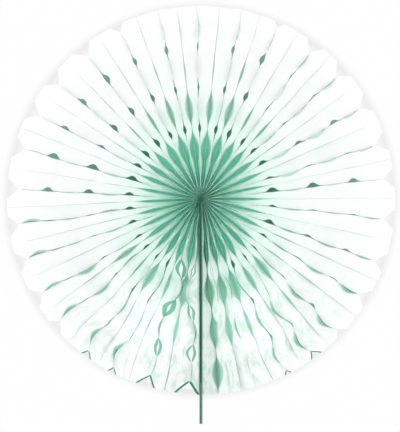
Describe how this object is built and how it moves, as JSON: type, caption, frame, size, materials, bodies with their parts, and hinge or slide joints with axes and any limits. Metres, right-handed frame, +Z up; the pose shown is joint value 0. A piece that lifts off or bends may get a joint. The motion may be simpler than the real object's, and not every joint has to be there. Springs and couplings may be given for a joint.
{
  "type": "paper fan rosette",
  "caption": "Hanging tissue fan opened all the way round into a pleated disc, with diamonds cut through its folds and two end cards that meet in a tab below the rim.",
  "frame": {"origin": "middle of the tab that the two end cards make below the rim, where the rosette is held", "axes": "+Z up along the joint between the cards, from the tab to the rosette's centre; the front folds face -Y"},
  "size_m": [0.3999, 0.03, 0.4298],
  "materials": {
    "mint_tissue": "thin matte tissue paper that lets light through",
    "green_card": "matte dyed board",
    "clear_tape": "double sided tape",
    "white_thread": "twisted cotton"
  },
  "bodies": {
    "root": {"pleated_tissue": "mint_tissue", "end_card_left": "green_card", "end_card_right": "green_card", "joining_tape": "clear_tape", "centre_thread": "white_thread"}
  },
  "joints": []
}
